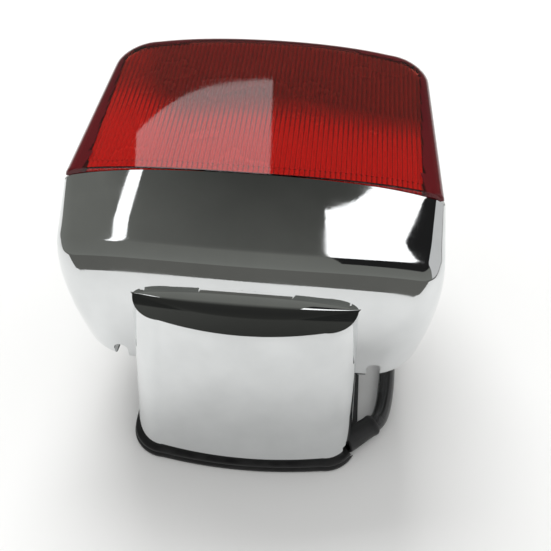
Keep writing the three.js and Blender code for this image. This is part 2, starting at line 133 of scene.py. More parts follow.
def noise(tree, scale, detail=4, stretch=(1, 1, 1)):
    """A noise pattern fixed to the object, with features of about 1/scale metres."""
    place = tree.nodes.new("ShaderNodeTexCoord")
    mapping = tree.nodes.new("ShaderNodeMapping")
    mapping.inputs["Scale"].default_value = stretch
    pattern = tree.nodes.new("ShaderNodeTexNoise")
    pattern.inputs["Scale"].default_value = scale
    pattern.inputs["Detail"].default_value = detail
    tree.links.new(place.outputs["Object"], mapping.inputs["Vector"])
    tree.links.new(mapping.outputs["Vector"], pattern.inputs["Vector"])
    return pattern.outputs["Fac"]


def vary(tree, pattern, socket, lowest, highest, start=0.35, end=0.65):
    spread = tree.nodes.new("ShaderNodeMapRange")
    spread.inputs["From Min"].default_value = start
    spread.inputs["From Max"].default_value = end
    spread.inputs["To Min"].default_value = lowest
    spread.inputs["To Max"].default_value = highest
    tree.links.new(pattern, spread.inputs["Value"])
    tree.links.new(spread.outputs["Result"], socket)


def tint(tree, pattern, socket, dark, light):
    ramp = tree.nodes.new("ShaderNodeValToRGB")
    ramp.color_ramp.elements[0].position = 0.3
    ramp.color_ramp.elements[1].position = 0.7
    ramp.color_ramp.elements[0].color = (*dark, 1)
    ramp.color_ramp.elements[1].color = (*light, 1)
    tree.links.new(pattern, ramp.inputs["Fac"])
    tree.links.new(ramp.outputs["Color"], socket)


def bumps(tree, layers, socket):
    """Adds (pattern, height in mm) layers of relief."""
    before = None
    for pattern, height in layers:
        bump = tree.nodes.new("ShaderNodeBump")
        bump.inputs["Distance"].default_value = height * MM
        tree.links.new(pattern, bump.inputs["Height"])
        if before:
            tree.links.new(before, bump.inputs["Normal"])
        before = bump.outputs["Normal"]
    tree.links.new(before, socket)


def finish(name, dark, light, rough, grain, relief, stretch=(1, 1, 1), **sockets):
    """A finish whose colour, gloss and fine relief vary over the surface."""
    made, shader = new_material(name, **sockets)
    tree = made.node_tree
    broad = noise(tree, grain * 0.08, 3)
    fine = noise(tree, grain, 5, stretch)
    tint(tree, broad, shader.inputs["Base Color"], dark, light)
    vary(tree, broad, shader.inputs["Roughness"], *rough)
    bumps(tree, [(fine, relief)], shader.inputs["Normal"])
    return made


def chrome_finish():
    made, shader = new_material("chrome_plate", Metallic=1.0)
    tree = made.node_tree
    haze = noise(tree, 60, 6)
    tint(tree, haze, shader.inputs["Base Color"], (0.7, 0.715, 0.72), (0.76, 0.775, 0.78))
    vary(tree, haze, shader.inputs["Roughness"], 0.02, 0.06)
    wave = noise(tree, 22, 1, (1.6, 1, 0.5))
    polish = noise(tree, 900, 3)
    bumps(tree, [(wave, 0.11), (polish, 0.0015)], shader.inputs["Normal"])
    return made


CHROME = chrome_finish()
# Painted shade: the inside faces of the housing are dark, standing for the shade inside it.
INSIDE_SHADE = finish("dark_primer", (0.01, 0.01, 0.01), (0.022, 0.021, 0.02), (0.5, 0.75), 900, 0.03)
RUBBER = finish("moulded_rubber", (0.008, 0.008, 0.009), (0.02, 0.02, 0.021), (0.38, 0.6), 1800, 0.02)
SLEEVE = finish(
    "vinyl_sleeve", (0.006, 0.006, 0.007), (0.012, 0.012, 0.013), (0.16, 0.3), 700, 0.03, Coat_Weight=0.3,
)
NYLON = finish("black_nylon", (0.014, 0.014, 0.015), (0.024, 0.024, 0.025), (0.4, 0.55), 2500, 0.02)
ZINC = finish(
    "zinc_plate", (0.45, 0.45, 0.44), (0.68, 0.68, 0.67), (0.28, 0.5), 1200, 0.01, (1, 1, 6), Metallic=1.0,
)
BRASS = finish(
    "brass_sheet", (0.5, 0.34, 0.12), (0.72, 0.53, 0.24), (0.2, 0.42), 1400, 0.008, (1, 1, 5), Metallic=1.0,
)
BAKELITE = finish("brown_insulator", (0.05, 0.022, 0.01), (0.09, 0.04, 0.02), (0.35, 0.5), 1500, 0.02)
MIRROR = finish(
    "bright_reflector", (0.7, 0.7, 0.7), (0.85, 0.85, 0.86), (0.1, 0.25), 300, 0.03, Metallic=1.0,
)
CLEAR = finish(
    "clear_acrylic", (0.9, 0.92, 0.93), (0.95, 0.96, 0.97), (0.02, 0.08), 250, 0.01,
    Transmission_Weight=0.95, IOR=1.49,
)
RED_SKIN = finish(
    "red_acrylic", (1.0, 0.16, 0.11), (1.0, 0.2, 0.14), (0.02, 0.05), 120, 0.004,
    Transmission_Weight=1.0, IOR=1.4,
)
# Painted shade: a darker, less clear copy of the red acrylic for the lens sides and the smooth band round
# the flutes.
RED_RIM_SHADED = finish(
    "red_acrylic_rim", (0.09, 0.004, 0.008), (0.16, 0.008, 0.012), (0.03, 0.08), 120, 0.004,
    Transmission_Weight=0.4, IOR=1.4,
)


def flute_finish_and_shade():
    """Painted shade and light: deeper red where less light comes back from inside, towards the far edge and
    the right, paler at the left, in soft patches.
    """
    made, shader = new_material("red_flutes", Transmission_Weight=0.15, Specular_IOR_Level=0.25)
    tree = made.node_tree
    place = tree.nodes.new("ShaderNodeTexCoord")
    split = tree.nodes.new("ShaderNodeSeparateXYZ")
    tree.links.new(place.outputs["Object"], split.inputs[0])
    # painted shade: deeper red towards the far edge of the lens
    depth = tree.nodes.new("ShaderNodeMapRange")
    depth.interpolation_type = "SMOOTHSTEP"
    depth.inputs["From Min"].default_value = -0.005
    depth.inputs["From Max"].default_value = 0.05
    tree.links.new(split.outputs["Y"], depth.inputs["Value"])
    # painted light: paler red along the left side
    painted_left_light = tree.nodes.new("ShaderNodeMapRange")
    painted_left_light.interpolation_type = "SMOOTHSTEP"
    painted_left_light.inputs["From Min"].default_value = -0.06
    painted_left_light.inputs["From Max"].default_value = -0.03
    painted_left_light.inputs["To Min"].default_value = -0.5
    painted_left_light.inputs["To Max"].default_value = 0.0
    tree.links.new(split.outputs["X"], painted_left_light.inputs["Value"])
    # painted light and shade in soft patches over the flutes
    painted_light_patches = tree.nodes.new("ShaderNodeMath")
    painted_light_patches.operation = "MULTIPLY_ADD"
    painted_light_patches.inputs[1].default_value = 0.5
    painted_light_patches.inputs[2].default_value = -0.2
    tree.links.new(noise(tree, 14, 0), painted_light_patches.inputs[0])
    painted_shade_sum = None
    for part in (painted_left_light.outputs["Result"], painted_light_patches.outputs["Value"]):
        plus = tree.nodes.new("ShaderNodeMath")
        tree.links.new(painted_shade_sum or depth.outputs["Result"], plus.inputs[0])
        tree.links.new(part, plus.inputs[1])
        painted_shade_sum = plus.outputs["Value"]
    # painted shade: darker red lines along the grooves between the flutes, at the flute pitch
    turn = tree.nodes.new("ShaderNodeMath")
    turn.operation = "MULTIPLY"
    turn.inputs[1].default_value = math.pi / (FLUTE_PITCH * MM)
    tree.links.new(split.outputs["X"], turn.inputs[0])
    wave = tree.nodes.new("ShaderNodeMath")
    wave.operation = "SINE"
    tree.links.new(turn.outputs["Value"], wave.inputs[0])
    ridge = tree.nodes.new("ShaderNodeMath")
    ridge.operation = "ABSOLUTE"
    tree.links.new(wave.outputs["Value"], ridge.inputs[0])
    groove_shade = tree.nodes.new("ShaderNodeMapRange")
    groove_shade.inputs["From Max"].default_value = 0.75
    groove_shade.inputs["To Min"].default_value = 0.62
    groove_shade.inputs["To Max"].default_value = 0.0
    tree.links.new(ridge.outputs["Value"], groove_shade.inputs["Value"])
    plus = tree.nodes.new("ShaderNodeMath")
    tree.links.new(painted_shade_sum, plus.inputs[0])
    tree.links.new(groove_shade.outputs["Result"], plus.inputs[1])
    tint(tree, plus.outputs["Value"], shader.inputs["Base Color"], (1.0, 0.05, 0.02), (0.2, 0.002, 0.005))
    vary(tree, noise(tree, 40, 3), shader.inputs["Roughness"], 0.15, 0.3)
    bumps(tree, [(noise(tree, 600, 2), 0.01)], shader.inputs["Normal"])
    return made


RED_FLUTES = flute_finish_and_shade()


# ------------------------------------------------------------------ mesh tools
def make_piece(name, mesh, material, replaces=(), body=BODY):
    piece = bpy.data.objects.new(name, mesh)
    bpy.context.scene.collection.objects.link(piece)
    dress(piece, material, replaces, body)
    return piece


def dress(piece, material, replaces=(), body=BODY):
    piece.data.materials.clear()
    for one in material if isinstance(material, tuple) else (material,):
        piece.data.materials.append(one)
    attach(piece, body)
    if replaces:
        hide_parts(*replaces)


def to_mesh(name, points, faces):
    mesh = bpy.data.meshes.new(name)
    mesh.from_pydata([tuple(Vector(p) * MM) for p in points], [], faces)
    return mesh


def soften(mesh, degrees=32):
    """Smooth shading, but for edges sharper than the angle."""
    work = bmesh.new()
    work.from_mesh(mesh)
    bmesh.ops.remove_doubles(work, verts=work.verts, dist=1e-6)
    bmesh.ops.dissolve_degenerate(work, edges=work.edges, dist=1e-6)
    limit = math.radians(degrees)
    for face in work.faces:
        face.smooth = True
    for edge in work.edges:
        edge.smooth = len(edge.link_faces) == 2 and edge.calc_face_angle(0) < limit
    work.to_mesh(mesh)
    work.free()
    return mesh


def combine(base, cutter, operation):
    """The solid that two closed meshes make; both are used up."""
    pair = []
    for mesh in (base, cutter):
        if not mesh.materials:
            mesh.materials.append(CHROME)
            mesh.materials.append(INSIDE_SHADE)
        holder = bpy.data.objects.new("work", mesh)
        bpy.context.scene.collection.objects.link(holder)
        pair.append(holder)
    step = pair[0].modifiers.new("step", "BOOLEAN")
    step.operation = operation
    step.solver = "MANIFOLD"
    step.material_mode = "INDEX"
    step.object = pair[1]
    graph = bpy.context.evaluated_depsgraph_get()
    result = bpy.data.meshes.new_from_object(pair[0].evaluated_get(graph), depsgraph=graph)
    for holder in pair:
        spent = holder.data
        bpy.data.objects.remove(holder)
        bpy.data.meshes.remove(spent)
    return result


def inner(mesh):
    """Marks a cutter whose faces become the dark inside, painted shade in the hollow housing."""
    for face in mesh.polygons:
        face.material_index = 1
    return mesh


def cut(base, cutter):
    return combine(base, cutter, "DIFFERENCE")


def join(base, other):
    return combine(base, other, "UNION")


def keep(base, other):
    return combine(base, other, "INTERSECT")


def ring_faces(rings, count, closed=True):
    """Quads between rings of equal length, anticlockwise rings from the bottom up."""
    faces = []
    for r in range(rings - 1):
        for i in range(count if closed else count - 1):
            a = r * count + i
            b = r * count + (i + 1) % count
            faces.append((a, b, b + count, a + count))
    return faces


def loft(name, rings):
    """A closed body through rings, with flat ends."""
    count = len(rings[0])
    faces = ring_faces(len(rings), count)
    faces.append(tuple(reversed(range(count))))
    faces.append(tuple(range((len(rings) - 1) * count, len(rings) * count)))
    mesh = to_mesh(name, [p for ring in rings for p in ring], faces)
    work = bmesh.new()
    work.from_mesh(mesh)
    bmesh.ops.recalc_face_normals(work, faces=work.faces)
    work.to_mesh(mesh)
    work.free()
    return mesh


def block(x0, x1, y0, y1, z0, z1):
    return loft("block", [
        [(x0, y0, z), (x1, y0, z), (x1, y1, z), (x0, y1, z)] for z in (z0, z1)
    ])


def disc(x, y, z0, z1, radius, sides=48):
    turns = [2 * math.pi * i / sides for i in range(sides)]
    return loft("disc", [
        [(x + radius * math.cos(a), y + radius * math.sin(a), z) for a in turns] for z in (z0, z1)
    ])


def turned(name, profile, sides, place):
    """A body turned about an axis; its closed profile holds (radius, height) pairs."""
    points = []
    for i in range(sides):
        a = 2 * math.pi * i / sides
        points += [place(r * math.cos(a), r * math.sin(a), h) for r, h in profile]
    count = len(profile)
    faces = []
    for i in range(sides):
        for k in range(count):
            a = i * count + k
            b = i * count + (k + 1) % count
            c = ((i + 1) % sides) * count + (k + 1) % count
            d = ((i + 1) % sides) * count + k
            faces.append((a, d, c, b))
    return to_mesh(name, points, faces)


def lerp(a, b, t):
    return a + (b - a) * t


def clamp01(t):
    return min(1.0, max(0.0, t))


def ease(t):
    t = clamp01(t)
    return t * t * (3 - 2 * t)


def spaced(start, end, step):
    count = max(1, math.ceil(abs(end - start) / step))
    return [lerp(start, end, i / count) for i in range(count + 1)]


# ------------------------------------------------------------------ shapes of the lamp
SEAM_Y = -18
GAP = 0.3
LENS_TOP = 123.8
LENS_HALF = 74.6
LENS_FLARE = 1.4
LENS_BACK = 79
LENS_TAPER = 0.055
SIDE_ROUND = 3.5
BACK_ROUND = 8
RIM_FRONT = 116
RIM_SLOPE = 0.4227
RIM_GAP = 2.1
HOOD_FLOOR = 38.5
HOOD_HALF = 75
HOOD_SWELL = 3.4
HOOD_FLAT_BACK = 22
HOOD_BACK = 73
BEND_Y = -44.5
BEND_Z = 102.5
BEND_REACH = 3.0
ROOF_LEAN = 1.55
CORNER_TOP = 4
CORNER_GROWTH = 22
FACE_FOOT_Y = -52
EDGE_ROUND = 5
NOTCH_X = 54.6
NOTCH_HALF = 3.1
NOTCH_HEIGHT = 8
NECK_FOOT = 5.3
LIP_Z = 82
SCREWS_X = 52
SCREWS_Y = 50
SCREW_SEAT = 53


def half_edge(edge, bow, radius, inwards, half_at, edge_steps, arc_steps):
    """One bowed edge with its right-hand corner, from the centre line out to the side."""
    half = half_at(edge)
    inner = half - radius
    points = []
    for i in range(edge_steps):
        x = inner * i / edge_steps
        points.append((x, edge + inwards * bow * (x / half) ** 2))
    corner = edge + inwards * bow * (inner / half) ** 2
    for i in range(arc_steps + 1):
        a = math.pi / 2 * i / arc_steps
        y = corner + inwards * radius * (1 - math.cos(a))
        points.append((inner + radius * math.sin(a) + half_at(y) - half, y))
    return points


def right_half(front, back, half, taper, bows, radii, steps):
    """(front edge, side, back edge) of an outline's right half."""
    def half_at(y):
        return half - taper * max(0, y - SEAM_Y)

    near = half_edge(front, bows[0], radii[0], 1, half_at, *steps[:2])
    far = half_edge(back, bows[1], radii[1], -1, half_at, *steps[:2])
    side = []
    for i in range(1, steps[2]):
        y = lerp(near[-1][1], far[-1][1], i / steps[2])
        side.append((half_at(y), y))
    return near, side, far


def outline(*sizes):
    near, side, far = right_half(*sizes)
    right = [*near, *side, *reversed(far)]
    left = [(-x, y) for x, y in reversed(right[1:-1])]
    return [*right, *left]


CROWN_BOW = 0.000192
CROWN_SWEEP = 1.294e-7


def crown_drop(x):
    return CROWN_BOW * x ** 2 + CROWN_SWEEP * x ** 4


def hood_profile(z):
    if z > BEND_Z:
        return lerp(BEND_Y, SEAM_Y, (z - BEND_Z) / (LENS_TOP - BEND_Z))
    return lerp(BEND_Y, FACE_FOOT_Y, 1 - ((z - HOOD_FLOOR) / (BEND_Z - HOOD_FLOOR)) ** 3)


def hood_front(z):
    """Front of the hood at a height, with the bend between roof and face rounded."""
    reach = BEND_REACH * max(0, 1 - ((z - BEND_Z) / (2 * BEND_REACH)) ** 2)
    if reach == 0:
        return hood_profile(z)
    samples = [hood_profile(z + reach * k / 4) for k in range(-4, 5)]
    return sum(samples) / len(samples)


def hood_back(z):
    rim_z = RIM_FRONT - RIM_GAP - RIM_SLOPE * (HOOD_BACK - SEAM_Y)
    return lerp(HOOD_FLAT_BACK, HOOD_BACK, clamp01((z - HOOD_FLOOR) / (rim_z - HOOD_FLOOR)) ** 0.8)


def hood_body(inset, fine=1.0):
    bottom = HOOD_FLOOR + inset
    rounding = [EDGE_ROUND * (1 - math.cos(math.pi / 2 * i / 8)) for i in range(8)]
    rises = [
        *rounding, *spaced(EDGE_ROUND, 54, 3 * fine), *spaced(54.6, 68, 0.6 * fine),
        *spaced(69, LENS_TOP - bottom, 1.2 * fine),
    ]
    rings = []
    for rise in rises:
        z = bottom + rise
        lowest = max(0, EDGE_ROUND - rise)
        tuck = EDGE_ROUND - math.sqrt(EDGE_ROUND ** 2 - lowest ** 2)
        lean = lerp(1, ROOF_LEAN, ease((z - BEND_Z + 4) / 8))
        risen = clamp01((z - HOOD_FLOOR) / (LENS_TOP - HOOD_FLOOR))
        half = HOOD_HALF + HOOD_SWELL * math.sin(math.pi * risen)
        corner = CORNER_TOP + CORNER_GROWTH * (LENS_TOP - z) / (LENS_TOP - HOOD_FLOOR)
        plan = outline(
            hood_front(z) + inset * lean + tuck, hood_back(z - inset) - inset * 1.2, half - inset - tuck,
            0.1, (3.4, 5), (corner, 16), (26, 12, 22),
        )
        fade = ease((z - 80) / 30)
        rings.append([(x, y, z - crown_drop(x) * fade) for x, y in plan])
    return loft("hood", rings)


def neck_outline(z, grow, steps=(22, 12, 12)):
    t = clamp01((z - NECK_FOOT) / (LIP_Z - NECK_FOOT))
    return outline(
        lerp(-76.3, -64.5, t) - grow, 14 + grow, lerp(48.8, 45.4, t) + grow,
        0, (lerp(6.1, 8.2, t), 2), (13 + grow, 9 + grow), steps,
    )


LEDGE_FILLET = 9
LEDGE_RISE = 0.07
LIP_Y = -64.5


def ledge_line(x, drop):
    """The neck's top from the side: a nearly flat ledge, its fillet fading out at both ends."""
    radius = max(0.5, LEDGE_FILLET * (1 - min(1, abs(x) / 45.5) ** 2.4))
    bow = 3.4 * (x / 78) ** 2
    face = hood_front(LIP_Z + 1.2 + radius) + bow + 0.05
    start = face - radius
    flat = LIP_Z + LEDGE_RISE * (start - LIP_Y)
    line = [(-110, LIP_Z + LEDGE_RISE * (-110 - LIP_Y)), (LIP_Y, LIP_Z), (start, flat)]
    for i in range(1, 13):
        a = math.pi / 2 * i / 12
        line.append((start + radius * math.sin(a), flat + radius * (1 - math.cos(a))))
    foot = line[-1][1]
    for i in range(1, 8):
        z = lerp(foot, 95, i / 7)
        line.append((hood_front(z) + bow + 0.4, z))
    line += [(line[-1][0], 160), (-110, 160)]
    return [(y + drop * 0.3, z - drop if z < 150 else z) for y, z in line]


def above_ledge(drop=0.0):
    """Everything over the ledge."""
    return loft("ledge", [[(x, y, z) for y, z in ledge_line(x, drop)] for x in spaced(-90, 90, 1.5)])


def neck_body(inset):
    levels = [NECK_FOOT - (1.5 if inset else 0), *spaced(NECK_FOOT + 0.5, 91.4, 3.5)]
    rings = [[(x, y, z) for x, y in neck_outline(z, -inset)] for z in levels]
    return cut(loft("neck", rings), above_ledge(1.1 * inset))


def rim_half(offset, above):
    """Everything above, or below, a plane that falls towards the back like the lens rim."""
    height = 200 if above else -200
    rings = []
    for z in sorted((0, height)):
        rings.append([
            (x, y, RIM_FRONT + offset + z - RIM_SLOPE * (y - SEAM_Y))
            for x, y in ((-200, -200), (200, -200), (200, 200), (-200, 200))
        ])
    return loft("rim", rings)


def on_exit(x, y, h):
    """Puts a point of a body turned about the cable's line of exit."""
    across = Vector((-EXIT_WAY.y, EXIT_WAY.x, 0))
    return tuple(EXIT + EXIT_WAY * h + across * x + Vector((0, 0, y)))


def make_housing():
    shell = join(hood_body(0), neck_body(0))
    mouth = keep(rim_half(-RIM_GAP, True), block(-200, 200, SEAM_Y - GAP / 2, 200, 0, 300))
    shell = cut(shell, mouth)
    shell = cut(shell, inner(cut(neck_body(2), hood_body(0, 2))))
    hollow = hood_body(2, 1.6)
    for side in (-1, 1):
        column = (side * SCREWS_X, SCREWS_Y, SCREW_SEAT, 85.5, 5.5)
        shell = join(shell, disc(*column))
        hollow = cut(hollow, disc(*column))
    shell = cut(shell, inner(hollow))
    for side in (-1, 1):
        shell = cut(shell, disc(side * SCREWS_X, SCREWS_Y, 40, 100, 2.1))
        sill, top = HOOD_FLOOR - 1, HOOD_FLOOR + NOTCH_HEIGHT
        arch = [(side * NOTCH_X + NOTCH_HALF * math.cos(a), top + NOTCH_HALF * math.sin(a))
                for a in [math.pi * i / 16 for i in range(17)]]
        arch += [(side * NOTCH_X - NOTCH_HALF, sill), (side * NOTCH_X + NOTCH_HALF, sill)]
        shell = cut(shell, loft("notch", [[(x, y, z) for x, z in arch] for y in (-60, -40)]))
    shell = cut(shell, disc(0, -17, 36, 46, 4))
    hole = loft("hole", [[on_exit(5.6 * math.cos(a), 5.6 * math.sin(a), h)
                          for a in [2 * math.pi * i / 32 for i in range(32)]] for h in (-9, 20)])
    shell = cut(shell, hole)
    return make_piece("housing_shell", soften(shell), (CHROME, INSIDE_SHADE), ["chrome_housing"])


make_housing()


# ------------------------------------------------------------------ lens
LENS_STEPS = (30, 10, 24)
SKIN = 1.2


def lens_body(inset):
    """The lens's outer form, with a crowned top that follows the same grid as its sides."""
    top = LENS_TOP - inset

    def drop_in(radius, depth):
        rise = max(0, radius - depth)
        return radius - math.sqrt(max(0, radius ** 2 - rise ** 2))

    depths = [0, *[8 * (1 - math.cos(math.pi / 2 * i / 10)) for i in range(1, 11)], 11, 16, 30, 60]
    points = []
    halves = []
    for depth in reversed(depths):
        halves = right_half(
            SEAM_Y + GAP / 2 + inset, LENS_BACK - inset - drop_in(BACK_ROUND, depth),
            LENS_HALF + LENS_FLARE * clamp01(depth / 20) - inset - drop_in(SIDE_ROUND, depth),
            LENS_TAPER, (0, 7), (1.5, 16), LENS_STEPS,
        )
        near, side, far = halves
        right = [*near, *side, *reversed(far)]
        plan = [*right, *[(-x, y) for x, y in reversed(right[1:-1])]]
        points.extend((x, y, top - depth - crown_drop(x) * (1 - depth / 60)) for x, y in plan)
    count = len(plan)
    faces = ring_faces(len(depths), count)
    faces.append(tuple(reversed(range(count))))
    ring = (len(depths) - 1) * count
    near, side, far = halves
    rows = LENS_STEPS[2]
    columns = len(near) - 1
    grid = {}
    for column in range(-columns, columns + 1):
        k = abs(column)
        for row in range(rows + 1):
            x = lerp(near[k][0], far[k][0], row / rows) * (1 if column > 0 else -1)
            y = lerp(near[k][1], far[k][1], row / rows)
            if row == 0:
                index = ring + (column if column >= 0 else count + column)
            elif row == rows:
                if column >= 0:
                    index = ring + columns + rows + (columns - k)
                else:
                    index = ring + 2 * columns + rows + k
            elif column == columns:
                index = ring + columns + row
            elif column == -columns:
                index = ring + count - columns - row
            else:
                index = len(points)
                points.append((x, y, top - crown_drop(x)))
            grid[column, row] = index
    for column in range(-columns, columns):
        for row in range(rows):
            faces.append((
                grid[column, row], grid[column + 1, row], grid[column + 1, row + 1], grid[column, row + 1],
            ))
    return to_mesh("lens", points, faces)


def window_hole(grow):
    return block(-34 - grow, 34 + grow, 60, 90, 84 - grow, 103 + grow)


def make_lens():
    skin = cut(lens_body(0), lens_body(SKIN))
    skin = cut(keep(skin, rim_half(0, True)), window_hole(GAP))
    piece = make_piece("lens_skin", soften(skin, 40), (RED_SKIN, RED_RIM_SHADED), ["tail_lens"])
    # the sides and the smooth band get the darker copy of the red acrylic, painted shade
    for face in piece.data.polygons:
        x, y, z = face.center / MM
        smooth_band = abs(x) > FLUTES_OUT * FLUTE_PITCH + 0.3 or y > flutes_end(x) + 0.6
        face.material_index = 1 if smooth_band or z < LENS_TOP - 9 else 0
    return piece


FLUTE_DEPTH = 0.9
FLUTES_OUT = 33
STEP_BACK = 5.4


def flutes_end(x):
    return 71.5 - 0.0019 * x ** 2


def make_flutes():
    """The rows of ridges moulded on the inside of the lens, as one sheet with its flat side down."""
    half = FLUTES_OUT * FLUTE_PITCH
    columns = FLUTES_OUT * 2 * 8
    points = []
    lines = []
    for band in (0, 1):
        shift = band * 0.5
        y0 = SEAM_Y + GAP / 2 + SKIN + GAP
        for i in range(columns + 1):
            x = -half + 2 * half * i / columns
            ridge = abs(math.sin(math.pi * (x / FLUTE_PITCH + shift)))
            far = flutes_end(x)
            ys = (y0, SEAM_Y + STEP_BACK) if band == 0 else None
            if band:
                ys = [lerp(SEAM_Y + STEP_BACK + 0.3, far, k / 16) for k in range(17)]
            top = LENS_TOP - SKIN - 0.25 - crown_drop(x)
            line = []
            for y in ys:
                line.append(len(points))
                points.append((x, y, top - FLUTE_DEPTH * (1 - ridge)))
            for y in reversed(ys):
                line.append(len(points))
                points.append((x, y, top - FLUTE_DEPTH - 0.6))
            lines.append((band, line))
    faces = []
    for (band, a), (other, b) in zip(lines, lines[1:]):
        if band == other:
            count = len(a)
            faces += [(a[k], b[k], b[(k + 1) % count], a[(k + 1) % count]) for k in range(count)]
    for band in (0, 1):
        own = [line for which, line in lines if which == band]
        faces.append(tuple(own[0]))
        faces.append(tuple(reversed(own[-1])))
    mesh = to_mesh("flutes", points, faces)
    return make_piece("lens_flutes", soften(mesh, 50), RED_FLUTES)


make_lens()
make_flutes()


# ------------------------------------------------------------------ pad, boot and cable
def make_pad():
    profile = [
        (0, -1.2), (0.15, -0.6), (0.6, -0.1), (1.2, 0), (1.8, -0.1), (2.2, -0.5), (2.5, -1.1), (2.8, -1.3),
        (3.1, -1.1), (3.4, -0.7), (3.8, -0.5), (4.3, -0.55), (4.75, -0.8), (5, -1.3),
    ]
    pad = loft("pad", [
        [(x, y, z) for x, y in neck_outline(NECK_FOOT, 2.6 + grow, (26, 14, 16))] for z, grow in profile
    ])
    for side in (-1, 1):
        pad = cut(pad, disc(side * 28, -32, -1, 6, 4.3))
    across = Vector((-EXIT_WAY.y, EXIT_WAY.x, 0)) * 5.6
    near = Vector(along_exit(-5.8))
    far = Vector(along_exit(12.2))
    corners = [near - across, far - across, far + across, near + across]
    pad = cut(pad, loft("channel", [[(c.x, c.y, z) for c in corners] for z in (-3, 9)]))
    return make_piece("rubber_pad", soften(pad, 45), RUBBER, ["fender_pad"])


def make_boot():
    """A smooth rubber sleeve that thins towards the cable, with a small lip at each end."""
    profile = [(4.7, -5), (5.2, -4.6), (5.3, -4), (5.2, -3.4)]
    profile += [(lerp(5.2, 4.75, ease(t)), lerp(-3, 9.6, t)) for t in spaced(0, 1, 0.1)]
    profile += [(4.95, 10.1), (4.95, 11.2), (4.6, 11.9), (4.1, 12), (4.1, -5)]
    boot = turned("boot", profile, 48, on_exit)
    return make_piece("cable_boot_sleeve", soften(boot, 40), RUBBER, ["cable_boot"])


def make_plug(at, towards):
    """A two-way plug: a body with grip ribs and a latch, and the sleeve's collar behind it."""
    way = Vector((towards[0], towards[1], 0)).normalized()
    across = Vector((-way.y, way.x, 0))
    start = Vector(at)
    work = bmesh.new()

    def add(x0, x1, half, z0, z1, bevel):
        made = bmesh.ops.create_cube(work, size=1)
        for vert in made["verts"]:
            x, y, z = vert.co
            place = start + way * lerp(x0, x1, x + 0.5) + across * (y * 2 * half)
            vert.co = (place.x * MM, place.y * MM, (start.z + lerp(z0, z1, z + 0.5)) * MM)
        edges = list({e for v in made["verts"] for e in v.link_edges})
        bmesh.ops.bevel(work, geom=edges, offset=bevel * MM, segments=3, affect="EDGES", profile=0.6)

    add(0.6, 18, 7.2, -3.6, 3.5, 0.9)
    add(17, 24, 6.4, -3.1, 3.0, 0.6)
    add(8, 20, 2.0, 3.2, 4.9, 0.4)
    for i in range(4):
        add(2 + i * 1.5, 2.8 + i * 1.5, 7.45, -2.9, 2.9, 0.25)
    mesh = bpy.data.meshes.new("plug")
    work.to_mesh(mesh)
    work.free()
    return make_piece("plug_body", soften(mesh, 40), NYLON, ["lead_plug"])


SPRING_FOOT = 43.1
SPRING_TOP = 52.4
SPRING_RADIUS = 5.6
SPRING_WIRE = 0.55
SPRING_TURNS = 3.5
SPRING_Y = 4


def make_spring():
    """The contact spring, a coil of round wire from its foot to its top."""
    steps = round(SPRING_TURNS * 40)
    low, high = SPRING_FOOT + SPRING_WIRE, SPRING_TOP - SPRING_WIRE
    rings = []
    for i in range(steps + 1):
        a = 2 * math.pi * SPRING_TURNS * i / steps
        rings.append([])
        for b in [2 * math.pi * k / 12 for k in range(12)]:
            out = SPRING_RADIUS + SPRING_WIRE * math.cos(b)
            height = lerp(low, high, i / steps) + SPRING_WIRE * math.sin(b)
            rings[-1].append((out * math.cos(a), SPRING_Y + out * math.sin(a), height))
    mesh = loft("contact_coil", rings)
    for face in mesh.polygons:
        face.use_smooth = len(face.vertices) == 4
    piece = make_piece("contact_coil", mesh, ZINC, ["contact_spring"])
    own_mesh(piece)
    return piece


make_spring()
make_pad()
make_boot()
cable = make_cord("cable_sleeve", CABLE_ROUTE, CABLE_RADIUS)
dress(cable, SLEEVE, ["cable"])
end, before = CABLE_ROUTE[-1], CABLE_ROUTE[-2]
plug = make_plug(end, (end[0] - before[0], end[1] - before[1]))

# ------------------------------------------------------------------ finishes of the carried-over pieces
for node, material in {
    "licence_window": CLEAR, "lens_seal": RUBBER, "reflector_plate": MIRROR, "socket_shell": ZINC,
    "contact_carrier": BAKELITE, "contact_left": BRASS, "contact_right": BRASS,
    "bulb_base": BRASS, "bulb_glass": CLEAR, "bulb_filament": ZINC, "base_plate": ZINC,
    "inner_lead": SLEEVE,
    "weld_nut_left": ZINC, "weld_nut_right": ZINC, "lens_screw_left": ZINC, "lens_screw_right": ZINC,
    "screw_washer_left": RUBBER, "screw_washer_right": RUBBER,
}.items():
    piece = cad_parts[node]
    piece.data.materials.clear()
    piece.data.materials.append(material)


# ------------------------------------------------------------------ floor, light and surroundings
def make_stage():
    floor, shader = new_material("pale_table", Roughness=0.55)
    tree = floor.node_tree
    mottle = noise(tree, 3, 4)
    tint(tree, mottle, shader.inputs["Base Color"], (0.8, 0.8, 0.79), (0.84, 0.84, 0.83))
    bumps(tree, [(noise(tree, 1500, 3), 0.01)], shader.inputs["Normal"])
    table = bpy.data.objects.new("table", to_mesh("table", [
        (-3000, -3000, 0), (3000, -3000, 0), (3000, 3000, 0), (-3000, 3000, 0),
    ], [(0, 1, 2, 3)]))
    table.data.materials.append(floor)
    bpy.context.scene.collection.objects.link(table)


def area_light(name, at, target, size, power, glossy):
    data = bpy.data.lights.new(name, "AREA")
    data.shape = "RECTANGLE"
    data.size, data.size_y = size
    data.energy = power
    light = bpy.data.objects.new(name, data)
    bpy.context.scene.collection.objects.link(light)
    light.location = at
    light.rotation_euler = (Vector(target) - Vector(at)).to_track_quat("-Z", "Y").to_euler()
    light.visible_camera = False
    light.visible_glossy = glossy
    light.visible_transmission = glossy


def make_world(level):
    world = bpy.data.worlds.new("studio")
    world.use_nodes = True
    world.node_tree.nodes["Background"].inputs["Color"].default_value = (*level, 1)
    bpy.context.scene.world = world


